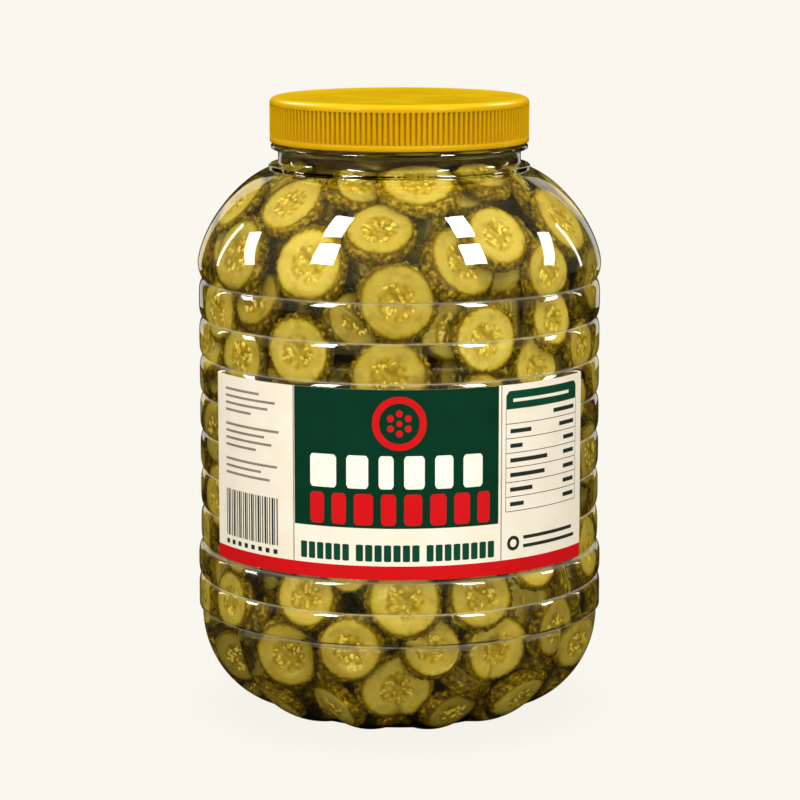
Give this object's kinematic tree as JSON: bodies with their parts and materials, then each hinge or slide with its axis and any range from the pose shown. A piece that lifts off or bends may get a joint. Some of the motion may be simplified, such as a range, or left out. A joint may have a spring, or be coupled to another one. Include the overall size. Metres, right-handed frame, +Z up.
{
  "type": "pickle jar",
  "caption": "Large clear plastic jar with hoops and a lobed base, full of gherkin slices in brine, with a ribbed screw lid and a plain printed label.",
  "frame": {"origin": "middle of the face the jar stands on", "axes": "+Z up along the jar's axis; the label is at the front, towards -Y; +X to the right of someone facing the label"},
  "size_m": [0.1804, 0.1804, 0.2736],
  "materials": {
    "clear_plastic": "clear blown PET, glossy",
    "gherkins": "wet gherkin slices in brine",
    "lid_plastic": "yellow moulded polypropylene, satin gloss",
    "label_paper": "coated paper, printed in fields of colour"
  },
  "bodies": {
    "root": {"jar": "clear_plastic", "contents": "gherkins", "lid": "lid_plastic", "label": "label_paper"}
  },
  "joints": []
}
